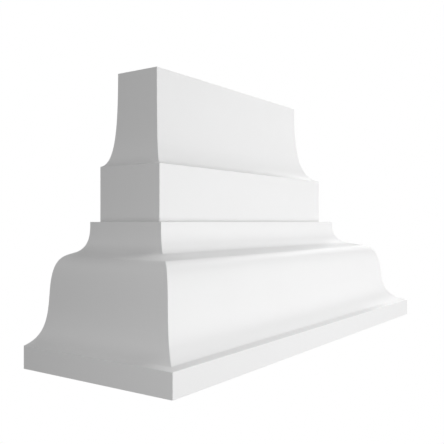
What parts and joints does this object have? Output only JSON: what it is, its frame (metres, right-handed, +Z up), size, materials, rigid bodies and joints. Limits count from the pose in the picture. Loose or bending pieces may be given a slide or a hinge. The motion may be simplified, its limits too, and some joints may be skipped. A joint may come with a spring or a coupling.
{
  "type": "pilaster capital",
  "caption": "Moulded pilaster capital with a flat back: a plinth, an ogee that returns along both sides, a plain band and a concave throat up to the shaft.",
  "frame": {"origin": "middle of the outline's width and depth, on the underside of the wide end", "axes": "+Z up from the wide end to the narrow end, -Y the moulded front, +Y the flat back at the wall, +X along the width"},
  "size_m": [0.365, 0.12, 0.2],
  "materials": {
    "white_primer": "matt white factory primer on rigid polyurethane foam, smooth"
  },
  "bodies": {
    "root": {"capital": "white_primer"}
  },
  "joints": []
}
